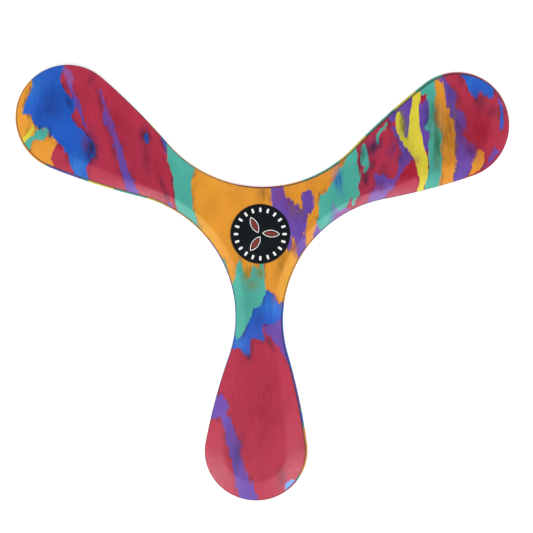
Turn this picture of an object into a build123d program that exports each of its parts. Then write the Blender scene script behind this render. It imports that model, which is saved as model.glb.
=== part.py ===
"""Three-bladed throwing boomerang, flat underneath, with a bevelled upper face.

A stiff moulded core carries a printed film on each face.  The two films stop at a
seam that runs round the edge, where a thin rim of the core shows between them.  A
round badge is stuck on the hub.

Frame: millimetres, +Z up, origin at the hub's centre on the flat underside.  One
blade points along -Y.  Thrown right-handed, the boomerang turns anticlockwise seen
from above, so the leading edge of each blade is its anticlockwise side.
"""
from build123d import *

import os
from math import cos, radians, sin, sqrt

os.makedirs("parts", exist_ok=True)

# ---- driving dimensions -------------------------------------------------------
BLADES = 3
SECTOR = 360 / BLADES
FIRST_BLADE_ANGLE = 180             # turns the first blade from +Y to -Y

# plan outline of one blade that points along +Y, with its trailing side at +X
TIP_CENTRE = Vector(2.4, 130.6)     # the paddle leans a little to the trailing side
TIP_RADIUS = 30.8
LEADING_FLANK_RADIUS = 390          # long convex arcs from the paddle to the neck
TRAILING_FLANK_RADIUS = 350
CROTCH_DISTANCE = 100.4             # hub centre to the centre of a crotch's hollow arc
CROTCH_ANGLE = 29.3                 # direction of that centre, from +X
CROTCH_RADIUS = 72.8

# plan outline of the raised flat, in the same form
FLAT_TIP_RADIUS = 18.3
FLAT_LEADING_FLANK_RADIUS = 420
FLAT_TRAILING_FLANK_RADIUS = 380
FLAT_CROTCH_RADIUS = 79.3

# heights above the underside
CORNER_HEIGHT = 0.4                 # the underside's edge turns up in this height
WIDEST_HEIGHT = 0.9                 # where the nose of the edge stands out furthest
NOSE_TOP_HEIGHT = 1.4               # where the nose starts to turn in again
SEAM_HEIGHT = 1.9                   # top of the lower film's lip
RIM_THICKNESS = 0.15                # core that shows between the two lips
EDGE_ROLL_HEIGHT = 0.4              # the upper film turns over its lip in this height
THICKNESS = 4.0                     # underside to the raised flat, films included

# insets from the widest outline
UNDERSIDE_INSET = 1.3
CORNER_INSET = 0.4
NOSE_TOP_INSET = 0.15
SEAM_INSET = 0.75
RIM_INSET = 0.95
UPPER_LIP_INSET = 0.85
EDGE_ROLL_INSET = 1.2
UPPER_TWIST = -0.33                 # degrees that the upper outline is turned clockwise,
                                    # which bares the nose along the leading edges

# the bevel climbs fast to a soft shoulder and then more gently to the flat
SHOULDER_WIDTH_SHARE = 0.8
SHOULDER_RISE_SHARE = 0.88

FILM = 0.35                         # thickness of each printed film

# badge
BADGE_RADIUS = 17.5
BADGE_THICKNESS = 0.25
BADGE_EDGE_RADIUS = 0.08
ADHESIVE_THICKNESS = 0.1
ADHESIVE_INSET = 0.2                # the adhesive stops short of the badge's rim
INK_THICKNESS = 0.06
RING_MARKS = 20
RING_RADIUS = 14.2
MARK_LENGTH = 2.6                   # along the radius
MARK_WIDTH = 1.3
MARK_CORNER_RADIUS = 0.4
LEAF_LENGTH = 10.4                  # one leaf of the pinwheel emblem
LEAF_WIDTH = 4.4
LEAF_START = 1.3                    # hub centre to the leaf's root
LEAF_LEAN = 34                      # turn of each leaf about its root
LINE_WIDTH = 0.42
FILL_GAP = 0.85                     # leaf outline to the filled middle


# ---- plan outlines ------------------------------------------------------------
def direction(angle):
    """Unit vector at an angle from +X, in degrees."""
    return Vector(cos(radians(angle)), sin(radians(angle)))


def flank_centre(tip_radius, crotch_radius, crotch_centre, flank_radius, side):
    """Centre of the arc that holds the tip arc inside it and touches the crotch arc from outside.

    side is 1 if that centre lies to the left of the way from the tip to the crotch, or -1.
    """
    to_tip, to_crotch = flank_radius - tip_radius, flank_radius + crotch_radius
    span = crotch_centre - TIP_CENTRE
    along = (to_tip**2 - to_crotch**2 + span.length**2) / (2 * span.length)
    across = sqrt(to_tip**2 - along**2)
    unit = span.normalized()
    normal = Vector(-unit.Y, unit.X)
    return TIP_CENTRE + unit * along + normal * across * side


def middle_of_arc(centre, start, end):
    """Point halfway along the shorter arc from start to end."""
    half = (start - centre) + (end - centre)
    return centre + half.normalized() * (start - centre).length


def blade_outline(tip_radius, crotch_radius, leading_radius, trailing_radius):
    """Closed outline of tangent arcs, drawn blade by blade, anticlockwise."""
    crotch_ahead = direction(CROTCH_ANGLE) * CROTCH_DISTANCE
    crotch_behind = crotch_ahead.rotate(Axis.Z, SECTOR)
    trailing = flank_centre(tip_radius, crotch_radius, crotch_ahead, trailing_radius, -1)
    leading = flank_centre(tip_radius, crotch_radius, crotch_behind, leading_radius, 1)
    neck_trailing = crotch_ahead + (trailing - crotch_ahead).normalized() * crotch_radius
    tip_trailing = trailing + (TIP_CENTRE - trailing).normalized() * trailing_radius
    tip_leading = leading + (TIP_CENTRE - leading).normalized() * leading_radius
    neck_leading = crotch_behind + (leading - crotch_behind).normalized() * crotch_radius
    arcs = [
        (neck_trailing, middle_of_arc(trailing, neck_trailing, tip_trailing), tip_trailing),
        (tip_trailing, TIP_CENTRE + Vector(0, tip_radius), tip_leading),
        (tip_leading, middle_of_arc(leading, tip_leading, neck_leading), neck_leading),
        (
            neck_leading,
            crotch_behind - crotch_behind.normalized() * crotch_radius,
            neck_trailing.rotate(Axis.Z, SECTOR),
        ),
    ]
    for blade in range(BLADES):
        turn = FIRST_BLADE_ANGLE + blade * SECTOR
        for points in arcs:
            ThreePointArc(*[p.rotate(Axis.Z, turn) for p in points])


def section(height, inset, twist=0.0, bevel=0.0):
    """Sketch at a height: the widest outline moved in by inset, bevel of the way to the raised flat."""
    def between(edge, flat):
        return edge + (flat - edge) * bevel

    with BuildSketch(Plane.XY.offset(height).rotated((0, 0, twist))) as outline:
        with BuildLine():
            blade_outline(
                between(TIP_RADIUS, FLAT_TIP_RADIUS) - inset,
                between(CROTCH_RADIUS, FLAT_CROTCH_RADIUS) + inset,
                between(LEADING_FLANK_RADIUS, FLAT_LEADING_FLANK_RADIUS) - inset,
                between(TRAILING_FLANK_RADIUS, FLAT_TRAILING_FLANK_RADIUS) - inset,
            )
        make_face()
    return outline.sketch


# ---- the two halves, each with a film over it ---------------------------------
RIM_TOP = SEAM_HEIGHT + RIM_THICKNESS
ROLL_TOP = RIM_TOP + EDGE_ROLL_HEIGHT
SHOULDER = ROLL_TOP + (THICKNESS - ROLL_TOP) * SHOULDER_RISE_SHARE
CORNER_LIFT = 0.15                  # share of the cover by which the corner inside it is higher


def lower_half(cover):
    """Sections from the underside to the seam, moved in by the thickness of a cover."""
    return [
        section(cover, UNDERSIDE_INSET + cover),
        section(CORNER_HEIGHT + cover * CORNER_LIFT, CORNER_INSET + cover),
        section(WIDEST_HEIGHT, cover),
        section(NOSE_TOP_HEIGHT, NOSE_TOP_INSET + cover, UPPER_TWIST / 4),
        section(SEAM_HEIGHT, SEAM_INSET + cover, UPPER_TWIST),
    ]


def upper_half(cover):
    """Sections from the seam to the raised flat, moved in by the thickness of a cover."""
    return [
        section(RIM_TOP, UPPER_LIP_INSET + cover, UPPER_TWIST),
        section(ROLL_TOP - cover / 2, EDGE_ROLL_INSET + cover, UPPER_TWIST),
        section(SHOULDER - cover, cover / 2, UPPER_TWIST, SHOULDER_WIDTH_SHARE),
        section(THICKNESS - cover, 0, UPPER_TWIST, 1),
    ]


with BuildPart() as core:
    loft(sections=lower_half(FILM), ruled=True)
    loft(sections=upper_half(FILM), ruled=True)
    extrude(section(SEAM_HEIGHT, RIM_INSET, UPPER_TWIST), amount=RIM_THICKNESS)
core.part.label = "core"

with BuildPart() as bottom_film:
    loft(sections=lower_half(0), ruled=True)
    loft(sections=lower_half(FILM), ruled=True, mode=Mode.SUBTRACT)
bottom_film.part.label = "bottom_film"

with BuildPart() as top_film:
    loft(sections=upper_half(0), ruled=True)
    loft(sections=upper_half(FILM), ruled=True, mode=Mode.SUBTRACT)
top_film.part.label = "top_film"


# ---- badge --------------------------------------------------------------------
ADHESIVE_TOP = THICKNESS + ADHESIVE_THICKNESS
BADGE_TOP = ADHESIVE_TOP + BADGE_THICKNESS

with BuildPart() as badge_adhesive:
    with BuildSketch(Plane.XY.offset(THICKNESS)):
        Circle(BADGE_RADIUS - ADHESIVE_INSET)
    extrude(amount=ADHESIVE_THICKNESS)
badge_adhesive.part.label = "badge_adhesive"

with BuildPart() as badge_disc:
    with BuildSketch(Plane.XY.offset(ADHESIVE_TOP)):
        Circle(BADGE_RADIUS)
    extrude(amount=BADGE_THICKNESS)
    fillet(badge_disc.faces().sort_by(Axis.Z)[-1].edges(), BADGE_EDGE_RADIUS)
badge_disc.part.label = "badge_disc"

with BuildPart() as badge_ring_marks:
    with BuildSketch(Plane.XY.offset(BADGE_TOP)):
        with PolarLocations(RING_RADIUS, RING_MARKS):
            RectangleRounded(MARK_LENGTH, MARK_WIDTH, MARK_CORNER_RADIUS)
    extrude(amount=INK_THICKNESS)
badge_ring_marks.part.label = "badge_ring_marks"


with BuildSketch(Plane.XY) as leaf:
    with BuildLine():
        ThreePointArc((0, 0), (LEAF_LENGTH / 2, -LEAF_WIDTH / 2), (LEAF_LENGTH, 0))
        ThreePointArc((LEAF_LENGTH, 0), (LEAF_LENGTH / 2, LEAF_WIDTH / 2), (0, 0))
    make_face()

with BuildSketch(Plane.XY) as leaf_hollow:
    add(leaf.sketch)
    offset(amount=-LINE_WIDTH, mode=Mode.REPLACE)

with BuildSketch(Plane.XY) as leaf_fill:
    add(leaf.sketch)
    offset(amount=-FILL_GAP, mode=Mode.REPLACE)


def pinwheel(*layers):
    """The first sketch, less the others, once for each blade and leaning as the blades turn."""
    with BuildSketch(Plane.XY.offset(BADGE_TOP)) as emblem:
        for blade in range(BLADES):
            towards = FIRST_BLADE_ANGLE + 90 + blade * SECTOR
            root = direction(towards) * LEAF_START
            with Locations(Location((root.X, root.Y, 0), (0, 0, towards - LEAF_LEAN))):
                add(layers[0].sketch)
                for layer in layers[1:]:
                    add(layer.sketch, mode=Mode.SUBTRACT)
    return emblem.sketch


with BuildPart() as badge_emblem_lines:
    extrude(pinwheel(leaf, leaf_hollow), amount=INK_THICKNESS)
badge_emblem_lines.part.label = "badge_emblem_lines"

with BuildPart() as badge_emblem_fill:
    extrude(pinwheel(leaf_fill), amount=INK_THICKNESS)
badge_emblem_fill.part.label = "badge_emblem_fill"


# ---- files --------------------------------------------------------------------
for piece in (
    core,
    bottom_film,
    top_film,
    badge_adhesive,
    badge_disc,
    badge_ring_marks,
    badge_emblem_lines,
    badge_emblem_fill,
):
    export_step(piece.part, f"parts/{piece.part.label}.step")
    print(piece.part.label, "solids", len(piece.part.solids()), "mm3", round(piece.part.volume, 2))
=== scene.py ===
"""Three-bladed boomerang: a charcoal moulded core, a printed film on each face and a hub badge.

Lengths are millimetres in the object's own frame, unless a setting has a unit: the origin is
the hub's centre on the underside, +Z is up and one blade points along -Y.
"""
from math import atan2, ceil, cos, pi, radians, sin, sqrt

import bpy
import numpy as np
from bpy.props import FloatProperty, FloatVectorProperty, IntProperty, PointerProperty
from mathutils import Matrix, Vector
from mathutils.geometry import delaunay_2d_cdt


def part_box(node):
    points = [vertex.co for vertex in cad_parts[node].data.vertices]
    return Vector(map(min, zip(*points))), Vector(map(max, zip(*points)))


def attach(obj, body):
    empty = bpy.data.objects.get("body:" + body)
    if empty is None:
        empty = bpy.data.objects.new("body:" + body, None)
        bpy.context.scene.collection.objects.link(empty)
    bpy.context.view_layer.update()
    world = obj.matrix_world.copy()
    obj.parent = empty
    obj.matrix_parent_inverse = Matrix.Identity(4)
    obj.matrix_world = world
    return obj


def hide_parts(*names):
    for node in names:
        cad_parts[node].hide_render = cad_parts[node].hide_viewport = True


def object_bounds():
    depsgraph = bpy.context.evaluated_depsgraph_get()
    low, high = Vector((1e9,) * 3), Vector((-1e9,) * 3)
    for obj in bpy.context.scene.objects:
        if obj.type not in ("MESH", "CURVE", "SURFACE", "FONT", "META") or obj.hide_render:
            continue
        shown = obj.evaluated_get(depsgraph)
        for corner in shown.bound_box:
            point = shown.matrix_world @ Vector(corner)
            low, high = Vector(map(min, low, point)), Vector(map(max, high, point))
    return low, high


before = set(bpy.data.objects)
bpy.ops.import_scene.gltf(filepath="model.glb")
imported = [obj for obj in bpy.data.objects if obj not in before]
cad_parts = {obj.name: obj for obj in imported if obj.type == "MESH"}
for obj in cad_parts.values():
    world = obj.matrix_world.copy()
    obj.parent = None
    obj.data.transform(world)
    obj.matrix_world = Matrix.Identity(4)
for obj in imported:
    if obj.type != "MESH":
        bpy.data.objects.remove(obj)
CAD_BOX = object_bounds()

bl_info = {
    "name": "Three-bladed boomerang",
    "version": (1, 0, 0),
    "blender": (4, 5, 0),
    "location": "View3D > Sidebar > Boomerang",
    "description": "Makes the films, badge marks and finishes of a three-bladed boomerang",
    "category": "Object",
}

MM = 0.001
BODY = "root"

# kinds of node that are used most
MATH = "ShaderNodeMath"
RANGE = "ShaderNodeMapRange"
MIX = "ShaderNodeMix"
BUMP = "ShaderNodeBump"

# ---- plan outline: tangent arcs, in pairs of (widest outline, raised flat) -----------------
BLADES = 3
SECTOR = 2 * pi / BLADES
FIRST_BLADE_TURN = pi                   # turns the first blade from +Y to -Y
TIP_CENTRE = Vector((2.4, 130.6))
TIP_RADIUS = (30.8, 18.3)
LEADING_FLANK_RADIUS = (390, 420)
TRAILING_FLANK_RADIUS = (350, 380)
CROTCH_RADIUS = (72.8, 79.3)
CROTCH_DISTANCE = 100.4
CROTCH_ANGLE = radians(29.3)
UPPER_TWIST = radians(-0.33)            # the upper film is turned by this much over the lower
FLANK_LENGTH = 78                       # these lengths set how many points every ring gets
TIP_LENGTH = 1.15 * pi * TIP_RADIUS[0]
CROTCH_LENGTH = 1.3 * CROTCH_RADIUS[0]

# ---- heights taken from the CAD model ------------------------------------------------------
SEAM_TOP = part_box("top_film")[0].z / MM
FLAT_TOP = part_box("top_film")[1].z / MM
SEAM_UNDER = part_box("bottom_film")[1].z / MM
BADGE_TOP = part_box("badge_disc")[1].z / MM
INK_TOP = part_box("badge_ring_marks")[1].z / MM

# ---- edge profiles, from the seam inwards --------------------------------------------------
UPPER_LIP_INSET = 0.7
UPPER_ROLL_INSET = 1.1
# edge shade of the rings that turn down into the seam: the dark cut edge plus painted shade in the
# seam's groove
ROLL_EDGE_AND_SHADE = (1.0, 1.0, 0.9, 0.5)    # of the rings that turn down, from the cut edge inwards
BEVEL_RINGS = 13
# (height, inset, edge shade) of the lower film's nose, from the seam down to the flat underside; edge
# shade is the dark cut edge at the seam plus painted shade on the nose's outer line, where its side
# wall falls in shade
NOSE_PROFILE = [
    (SEAM_UNDER, 0.8, 1.0), (1.68, 0.48, 0.35), (1.42, 0.24, 0.15), (1.15, 0.1, 0.5), (0.9, 0.04, 0.7),
    (0.65, 0.1, 0.7), (0.42, 0.3, 0.5), (0.22, 0.6, 0.2), (0.08, 0.95, 0.0), (0.0, 1.3, 0.0),
]
NOSE_TWIST_START = 1.9                  # the twist fades out between these two heights
NOSE_TWIST_END = 0.9

# ---- badge marks ---------------------------------------------------------------------------
MARK_CORNER = 0.4
CHAMFER_SHARE = 0.6                     # of the ink's thickness
LEAF_LINE = 0.42                        # width of a leaf's outline
LEAF_MIDDLE_INSET = 0.85
LEAF_ROOT = 1.3                         # hub centre to the root of a leaf

# ---- camera, floor and light, in metres ----------------------------------------------------
FRAME_SIDE = 533                        # the frame is a square, measured in steps
SENSOR_WIDTH = 36                       # in thousandths of a metre, as LENS is
LENS = SENSOR_WIDTH * 900 / FRAME_SIDE  # the focal length is 900 steps
SHIFT = (6.2 / FRAME_SIDE, -33.0 / FRAME_SIDE)
FLOOR_HALF_SIDE = 3.0
FLOOR_GAP = 0.05 * MM
# the tent is dark within the first angle from straight up, and bright from the second
TENT_OPENING = radians(24)
TENT_FULL = radians(52)
TENT_DARK = 0.0                         # brightness of the opening
TENT_LOW = 0.45                         # brightness near the ground
TENT_LOW_HEIGHT = 0.45                  # where it is bright, as the sine of the angle up
SOFTBOXES = {"front_left": (-0.37, -0.64, 0.82), "front_right": (0.37, -0.64, 0.82)}
SOFTBOX_SIDE = 0.32

# ---- inks, in the order they are laid on ---------------------------------------------------
# softness of edge, share that covers, share of the fray, how strongly it bleeds into a dark fringe
INK_LAYERS = {
    "orange": (0.6, 1.0, 1.0, 0.0),
    "crimson": (0.6, 1.0, 1.0, 0.0),
    "purple": (0.9, 0.96, 1.5, 0.5),
    "blue": (0.7, 1.0, 0.9, 0.7),
    "sky": (1.0, 0.9, 0.6, 0.0),
    "amber": (0.8, 1.0, 1.5, 0.45),
    "teal": (0.6, 1.0, 0.9, 0.55),
    "scarlet": (0.7, 0.9, 0.6, 0.0),
    "rose": (2.5, 0.5, 1.5, 0.0),
    "yellow": (0.6, 1.0, 0.6, 0.4),
    "violet": (1.2, 0.62, 1.0, 0.0),
}
INK_TONES = {"orange": "gold", "blue": "azure"}     # an ink's second tone, smudged into it alone
BLEED_REACH = 2.8                       # width of the dark fringe round a patch

# ---- printed patches -----------------------------------------------------------------------
# Each colour's closed outlines, as (x, y) seen from above.  They run past the object's edge
# where a colour goes off it.
UPPER_PRINT = {
    "orange": [
        # left tip, under the blue
        [(-132, 95), (-148, 88), (-148, 60), (-138, 42), (-121, 33), (-120.5, 41.5),
         (-122.3, 44.5), (-120, 48.5), (-117, 53), (-118, 62), (-126, 72), (-128, 88)],
        # hub, from the left neck's teal band to the lower neck
        [(-42, 50), (-42, 0), (-30, -12), (-20, -34), (-8, -30), (0, -32), (3, -33.5), (5, -34.3),
         (7, -35), (9.5, -38), (10.5, -41), (11.3, -42), (12.2, -40.6), (13.2, -41.5), (18, -43),
         (34, -30), (34, -6), (12, 2), (12, 36), (-20, 42)],
    ],
    "purple": [
        # left blade's short streak
        [(-112, 89), (-110.4, 88.5), (-107.6, 82), (-105, 76.5), (-103.5, 72), (-101.5, 66),
         (-99.6, 60), (-98.8, 55.5), (-101, 60), (-103.8, 66), (-105.4, 71), (-107.6, 77),
         (-110, 83)],
        # left blade's long streak
        [(-94.6, 85), (-93.4, 85.2), (-91, 81), (-89.5, 77), (-87.5, 70.5), (-85, 63.5), (-82, 56),
         (-80, 48), (-78.3, 40.5), (-75.5, 35), (-73.2, 29), (-71.6, 25), (-72, 19), (-78, 20),
         (-77.2, 25), (-78.7, 30), (-80.5, 36), (-82.5, 43), (-84.5, 50), (-86.5, 57),
         (-88.7, 61.5), (-90.2, 64.5), (-91.2, 67), (-90.4, 71), (-90.8, 76), (-92, 79.5),
         (-93.6, 82.5)],
        # hub, to the right of the badge
        [(6.3, 34), (6.3, 14), (12, 0), (15.5, -9.3), (17.5, -9), (18.5, -6), (18.6, -2.6),
         (20.2, -2.2), (20.7, -5), (20.4, -9), (22, -12), (22.3, -15), (26, -19), (36, -2),
         (36.5, 4), (33.5, 8), (33, 24), (30, 32), (14, 34)],
        # right neck, low, and up between the crimson and the yellow
        [(67.5, 35.5), (69.5, 34.3), (72, 35.5), (74, 32.6), (76, 31.8), (78.6, 34), (80, 38),
         (79.7, 42), (81.2, 47), (80.2, 52), (78.2, 57), (76.3, 60.8), (77, 63), (82, 62),
         (92, 52), (90, 43.5), (86.5, 41), (83.2, 36.5), (80.5, 33), (78.6, 29.5), (76.3, 25.6),
         (72, 21.2), (70, 15), (61, 14), (62.6, 20.5), (64.2, 23), (66.5, 26), (67.4, 30)],
        # between the yellow prongs, and on to the teal stripe
        [(73.5, 67), (75.5, 70.5), (80, 74), (88.5, 82), (92.5, 78), (95, 77), (97.3, 79.5),
         (99, 72), (99, 60), (99, 50), (96.8, 45.5), (92, 42), (88, 46), (80, 58), (78, 66),
         (76.5, 65)],
        # right paddle's broad stripe
        [(103, 96), (106.5, 92.5), (107.2, 89.6), (109, 87), (110.7, 84.2), (113, 82), (113.8, 78),
         (113.4, 73.5), (116, 70.3), (118.2, 68.2), (119.8, 66), (118.7, 62.5), (117, 59),
         (118, 56), (121.3, 54), (124.8, 51.3), (125.6, 48), (124.6, 43), (123, 38), (121.3, 34),
         (119, 27), (108, 24), (104, 60), (100, 90)],
        # right paddle's rim
        [(136.4, 52), (137.6, 49.5), (141, 47), (137, 39), (129, 33), (128.3, 37.3), (130.2, 40),
         (132.6, 42), (134, 45.5), (135.4, 49)],
        # lower neck
        [(1, -50), (5.5, -50), (10, -47), (12.4, -46), (18, -44), (22, -82), (16.9, -76.2),
         (15.5, -73), (13.4, -70.4), (11, -68), (8.5, -65), (6, -61.6), (3.4, -58.3),
         (1.8, -55.5)],
        # lower blade's long streak
        [(-23, -94.5), (-21.4, -98), (-20, -101), (-18.2, -104.4), (-20.6, -106.4), (-18.6, -109),
         (-17.3, -112.5), (-16, -116.5), (-15.8, -119.2), (-13.4, -121.6), (-11.6, -124),
         (-11.3, -127.5), (-12.1, -131.5), (-11.8, -135.3), (-9.8, -140), (-7.5, -145), (-5, -150),
         (-3, -155), (-1.3, -159), (-1, -166), (-13, -166), (-13.2, -158.5), (-14.2, -154),
         (-15.6, -150), (-15.3, -146), (-15.8, -141), (-17.2, -136), (-18.6, -130), (-19.6, -124),
         (-20.7, -118), (-22.2, -114), (-24, -110), (-25.3, -107.6), (-26.6, -111), (-31, -109),
         (-29, -100), (-25, -96)],
    ],
    "blue": [
        # left tip
        [(-131.5, 100), (-114.5, 100), (-113.8, 95.5), (-115.6, 91), (-115, 88), (-113.8, 85.3),
         (-112.4, 82.4), (-110.3, 80), (-108, 77.4), (-107.2, 74), (-107.8, 71), (-109.2, 70),
         (-108.9, 67), (-107.8, 65.2), (-105, 62), (-101.3, 58.6), (-98.5, 55.4), (-96.6, 53),
         (-95.4, 48.5), (-95.9, 43.8), (-97.6, 44.5), (-99.2, 43.6), (-99.6, 41), (-101.6, 39.4),
         (-101.5, 37.4), (-100.3, 34.5), (-99.5, 28), (-107, 28), (-108.3, 35.2), (-110.2, 38.6),
         (-111.7, 42), (-111.6, 45.6), (-114, 49), (-115.6, 52), (-118, 53.6), (-120.6, 56.6),
         (-122.2, 60), (-126, 61), (-129, 60.5), (-130.4, 64), (-132.4, 66), (-134, 70.2),
         (-136.3, 70), (-138.5, 68.6), (-137, 73.2), (-135, 79), (-132.6, 84), (-131.8, 88)],
        # left blade's short dash, the streak at its neck and the sliver above
        [(-67.6, 58.6), (-66.2, 59.6), (-64.6, 57), (-64.4, 54), (-65.6, 52), (-67, 54),
         (-68.1, 56.6)],
        [(-54.7, 24), (-53.2, 19.5), (-51, 16), (-48, 12), (-50, 9), (-53, 14.8), (-54.2, 19)],
        [(-58, 57), (-54, 56), (-54.3, 49), (-54.2, 43), (-55.6, 47), (-56.2, 52)],
        # right tip
        [(114.5, 97), (137, 88), (135.2, 82.6), (134.4, 79.8), (133.6, 77.4), (131.6, 79),
         (129, 81), (127.4, 82.7), (126.6, 84.6), (126, 81), (125.4, 78.4), (123.4, 78.4),
         (121.5, 82.4), (119, 86), (118, 89), (116, 91.2)],
        [(138.2, 80), (140.6, 75), (141.7, 69), (141.3, 64), (140.5, 60.8), (139, 60.8),
         (139.3, 67), (139, 73), (137.9, 77)],
        # lower neck
        [(2.6, -32.8), (5, -34), (7.2, -34.8), (9.4, -37.6), (10.4, -40.6), (11.3, -41.7),
         (12.2, -40.3), (13.4, -41.2), (18, -42), (18, -49), (12.4, -50), (10, -51.5),
         (5.5, -54.2), (1.4, -53), (1.3, -58), (2.1, -60), (2, -64), (0.4, -62.5), (-2, -62.6),
         (-5.6, -61.4), (-5.8, -64.4), (-5.4, -68), (-5.8, -71.5), (-7, -73.6), (-8.7, -72),
         (-10.4, -70.6), (-11.5, -68.4), (-12.7, -67.6), (-14.6, -68.2), (-17, -68.2), (-20, -66),
         (-16, -40), (0, -36)],
    ],
    "sky": [
        [(14.6, -150.4), (17, -148.6), (20.2, -147.6), (23, -149), (15, -158), (14.8, -153)],
    ],
    "amber": [
        # right neck's wedge and the drips below it
        [(13.4, 34), (13.6, 24.5), (15, 21.7), (18.4, 20), (19.3, 17.4), (20.3, 16.7),
         (21.2, 18.6), (22.4, 16), (22.4, 12.8), (23.7, 12.3), (24.6, 15), (24, 19), (24.3, 23),
         (26, 25.2), (28.6, 26), (30.2, 24.6), (31.3, 21), (31, 16.5), (29.9, 12.8), (27.8, 11.4),
         (27.2, 9), (26.4, 5.2), (25.9, 0.8), (26.3, -3.2), (27, -9), (30, -10), (31, -0.7),
         (32, 3), (33.2, 7), (36, 12), (50, 34), (55, 52), (40, 48)],
        # right paddle
        [(100, 96), (103.3, 92), (103.6, 89), (105.5, 85), (107, 81), (107.6, 77), (108.6, 73),
         (110.1, 69), (112, 66), (113.3, 63), (113, 58), (113.8, 52), (113.5, 46), (113.8, 41.5),
         (113.3, 36), (112.4, 32.6), (112, 24), (102, 24), (100, 60), (99, 88)],
        [(125.8, 50), (127.5, 49), (129, 47.4), (130.6, 47), (130.4, 43), (129.4, 40), (128, 37.4),
         (127, 30), (118, 30), (121.6, 34.6), (123, 38), (124.5, 43), (125.5, 47)],
    ],
    "teal": [
        # left tip
        [(-123.8, 62.3), (-122.6, 61.4), (-123.4, 58), (-124.5, 55), (-127, 54), (-129, 55.6),
         (-131.5, 54.6), (-133.6, 52), (-134.6, 48), (-139, 51), (-137.2, 52.8), (-135, 56),
         (-131.5, 58), (-130, 60.8), (-127, 61)],
        # left neck's band
        [(-56, 60), (-54.6, 54), (-54.6, 49), (-54.7, 44), (-53, 40), (-51, 34.3), (-50.2, 28),
         (-50, 20.5), (-49.2, 16), (-47.8, 12), (-47, 4), (-34, -4), (-35.8, 5.2), (-38.4, 11),
         (-39.6, 16), (-40, 24), (-40, 30.5), (-39, 35), (-38.5, 38.8), (-39, 46)],
        # right neck, in two lobes
        [(52, 52), (50.8, 45.6), (48, 41), (45.4, 36), (43, 31), (40.5, 28.4), (38.4, 25.3),
         (37, 22.4), (36, 23.6), (35, 24.6), (34.6, 20), (34, 13), (33.3, 7), (35, 1.8), (40, 1),
         (43, 8.5), (44, 12.6), (46, 13.2), (48, 14), (50, 15.4), (51, 16.6), (51.8, 19.2),
         (52.6, 21.4), (54, 21.2), (53.3, 18.6), (53.4, 16.6), (54.9, 16.5), (55.4, 19),
         (56.2, 21.4), (58, 23), (57.6, 26), (57.4, 29), (58.5, 32.5), (58, 35), (57.4, 38.4),
         (56, 40.4), (56.4, 43), (56.9, 47), (56, 50), (57, 55)],
        [(60, 52.8), (61.3, 51.6), (61.9, 47), (63, 43), (63.3, 40), (62.3, 37), (61, 35.2),
         (59.9, 36.4), (61, 39), (60.5, 40), (59.3, 40), (58.2, 41.6), (58, 44), (59, 46),
         (58.6, 49), (59.3, 51.6)],
        # right neck's thin streak
        [(74, 65.6), (74, 62.6), (71.6, 60.2), (70, 59), (69, 57), (68.8, 54), (69.6, 50.8),
         (68, 52.3), (67.2, 54.5), (67.4, 57.6), (69, 60.2), (71.4, 62.7), (72.8, 65)],
        # right paddle's stripe
        [(92.5, 84), (97, 96), (101.5, 92), (100.4, 89), (101.4, 84), (101.2, 78), (101.5, 73),
         (100.2, 69), (100.7, 66), (103, 62.6), (105, 59), (105.4, 55), (104, 50), (104.6, 47),
         (105.6, 44), (105.4, 41), (106, 38), (105.4, 34), (104.4, 29.5), (104, 22), (95, 22),
         (96.2, 30), (97.3, 34), (98, 38), (97.8, 42), (97.3, 46), (97.8, 51), (98, 56),
         (98, 59.6), (95.2, 61.4), (96.4, 64), (97.5, 67), (97.6, 72), (97, 79), (95.6, 77.8),
         (96.5, 82), (95, 80.6), (93, 80)],
        # lower neck
        [(-22, -30), (-16.4, -30.5), (-15.4, -26), (-14, -21), (-13.6, -17), (-12.6, -14),
         (-11.5, -16.5), (-10, -20), (-8.8, -24), (-7.4, -27.2), (-6.3, -26), (-5, -22),
         (-4.3, -18.4), (-2.9, -18.4), (-2, -20), (-0.8, -21), (-0.1, -17.5), (1.3, -15),
         (1.8, -22), (2.5, -28), (3, -33.8), (2, -37), (0.6, -41), (-1.4, -43.6), (-3, -43.4),
         (-5, -47), (-6.5, -51), (-8.5, -55.5), (-10.6, -60), (-13, -62.4), (-14.1, -64),
         (-14.9, -61), (-15, -56), (-22, -50)],
        [(-25, -14), (-21.6, -15), (-20.2, -17), (-19, -20.6), (-18.8, -23), (-21, -25),
         (-26, -20)],
    ],
    "scarlet": [
        # right paddle's lower rim
        [(117, 31.8), (122, 34.5), (125.8, 36.2), (129, 38), (132.5, 40.6), (136.5, 44.5),
         (138.6, 47.8), (144, 46), (132, 30), (117, 27)],
        # slivers of the ground that show in the teal and the purple
        [(92.6, 80), (94.6, 80.2), (96.8, 82.2), (95.6, 79), (94.4, 76.6), (92.8, 74)],
        [(96, 49.6), (97.5, 48), (97.6, 45), (96, 46)],
        # right paddle's wedge under the yellow
        [(90.5, 44.6), (87, 41.2), (83.4, 36.8), (80.6, 33), (82, 30), (92, 34), (92, 40)],
    ],
    "rose": [
        [(82, 33), (78.6, 29.6), (76.3, 25.4), (74, 20), (95, 22), (94, 32)],
    ],
    "yellow": [
        [(-132, 64.6), (-130.8, 63), (-131, 60), (-133, 57.4), (-135.5, 55), (-137.5, 53),
         (-141, 51), (-138.2, 56), (-135.5, 58), (-133.5, 61)],
        # right blade's main streak and its prong
        [(93, 87), (92.5, 83.5), (92.8, 80), (92, 75), (91.8, 70), (92, 66), (93.2, 60), (94, 54),
         (95, 50), (97, 46), (97.6, 42), (97.8, 37), (97, 32.5), (96, 29), (95.5, 22), (91, 22),
         (92, 27), (93.1, 31.5), (92, 34), (91.3, 38), (90.2, 42.5), (88, 45.6), (86, 49),
         (84, 51.2), (82, 54.5), (80, 57), (79, 60), (78.4, 65), (78, 68), (79.4, 71),
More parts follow.
